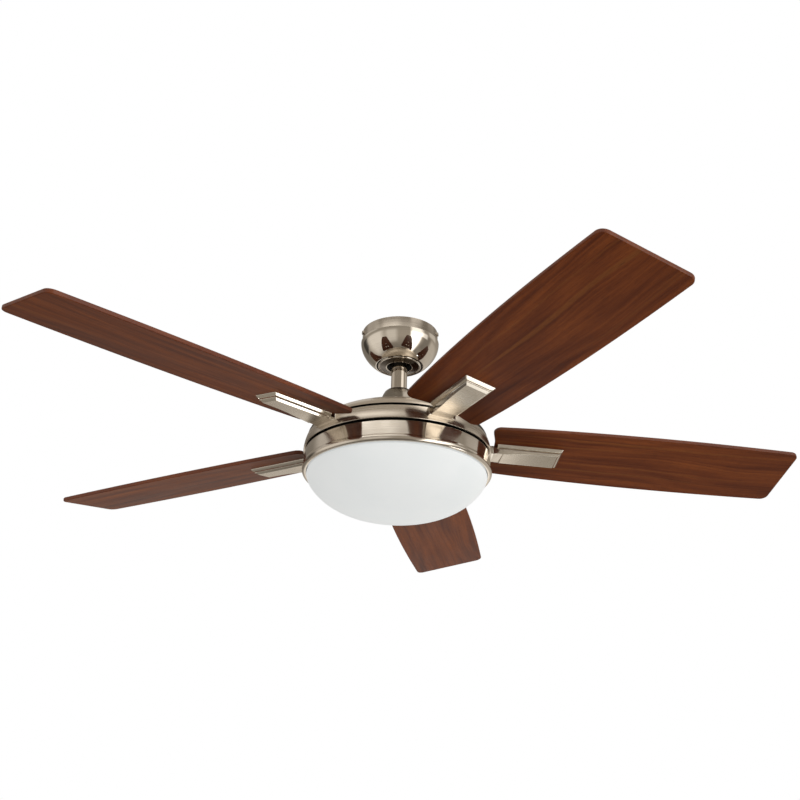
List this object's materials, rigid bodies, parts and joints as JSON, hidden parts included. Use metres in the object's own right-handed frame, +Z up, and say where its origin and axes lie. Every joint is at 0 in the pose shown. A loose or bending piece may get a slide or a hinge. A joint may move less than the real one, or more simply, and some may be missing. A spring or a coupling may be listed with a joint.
{
  "type": "ceiling fan with light",
  "caption": "Ceiling fan on a short downrod with a domed canopy, flat wood-grain blades on framed metal arms and a shallow opal glass bowl light under the motor.",
  "frame": {"origin": "middle of the hanger bracket's ceiling face, between its two screw slots", "axes": "+Z up towards the ceiling along the downrod, +X along the line of the two ceiling slots, -Y towards the viewer of the picture"},
  "size_m": [1.2719, 1.2813, 0.3257],
  "materials": {
    "satin_nickel": "brushed satin nickel plate",
    "polished_nickel": "polished nickel plate",
    "zinc_steel": "zinc plated steel",
    "nickel_screw": "nickel plated screws",
    "green_steel": "green earth screw",
    "black_plastic": "moulded",
    "black_nylon": "moulded nylon",
    "laminations": "stacked electrical steel",
    "copper": "enamelled wire",
    "cast_aluminium": "die cast",
    "walnut": "reddish walnut grain, satin",
    "white_paint": "white reflector paint",
    "porcelain_white": "glazed",
    "bulb_white": "frosted",
    "opal_glass": "white opal, satin etched"
  },
  "bodies": {
    "ceiling_mount": {"hanger_bracket": "zinc_steel", "ground_screw": "green_steel", "receiver_box": "black_plastic", "canopy_band": "satin_nickel", "canopy_bowl": "polished_nickel", "canopy_trim": "polished_nickel", "canopy_screws": "nickel_screw"},
    "ball_seat": {"ball_seat": "black_nylon"},
    "motor_body": {"hanger_ball": "black_nylon", "downrod": "satin_nickel", "ball_cross_pin": "zinc_steel", "ball_set_screw": "zinc_steel", "yoke": "zinc_steel", "clevis_pin": "zinc_steel", "cotter_pin": "zinc_steel", "yoke_set_screws": "zinc_steel", "yoke_cover": "satin_nickel", "top_cap": "satin_nickel", "housing_plate": "zinc_steel", "cap_screws": "zinc_steel", "reverse_switch": "black_plastic", "motor_shaft": "zinc_steel", "stator_core": "laminations", "stator_windings": "copper", "light_ring": "satin_nickel", "light_pan": "white_paint", "ring_screws": "zinc_steel", "shaft_nut": "zinc_steel", "lampholders": "porcelain_white", "bulbs": "bulb_white", "lampholder_brackets": "zinc_steel", "capacitor": "black_plastic"},
    "rotor": {"rotor_core": "laminations", "rotor_top_bell": "cast_aluminium", "rotor_bottom_bell": "cast_aluminium", "upper_bearing": "zinc_steel", "lower_bearing": "zinc_steel", "hub_screws": "zinc_steel", "blade_1": "walnut", "blade_2": "walnut", "blade_3": "walnut", "blade_4": "walnut", "blade_5": "walnut", "blade_arm_1": "satin_nickel", "blade_arm_2": "satin_nickel", "blade_arm_3": "satin_nickel", "blade_arm_4": "satin_nickel", "blade_arm_5": "satin_nickel", "blade_screws": "nickel_screw", "blade_washers": "nickel_screw", "arm_screws": "zinc_steel", "blade_flange": "zinc_steel", "rotor_band": "satin_nickel"},
    "bowl": {"glass_bowl": "opal_glass", "bowl_collar": "zinc_steel"},
    "slider": {"reverse_slider": "black_plastic"}
  },
  "joints": [
    {"name": "ball_tilt_x", "type": "hinge", "parent": "ceiling_mount", "child": "ball_seat", "pos_m": [0, 0, -0.033], "axis": [1, 0, 0], "range_deg": [-8, 8]},
    {"name": "ball_tilt_y", "type": "hinge", "parent": "ball_seat", "child": "motor_body", "pos_m": [0, 0, -0.033], "axis": [0, 1, 0], "range_deg": [-8, 8]},
    {"name": "fan_spin", "type": "hinge", "parent": "motor_body", "child": "rotor", "pos_m": [0, 0, -0.203], "axis": [0, 0, 1], "continuous": true},
    {"name": "bowl_twist", "type": "hinge", "parent": "motor_body", "child": "bowl", "pos_m": [0, 0, -0.25], "axis": [0, 0, 1], "range_deg": [0, 25]},
    {"name": "reverse_slide", "type": "slide", "parent": "motor_body", "child": "slider", "axis": [1, 0, 0], "range_m": [0, 0.008]}
  ]
}
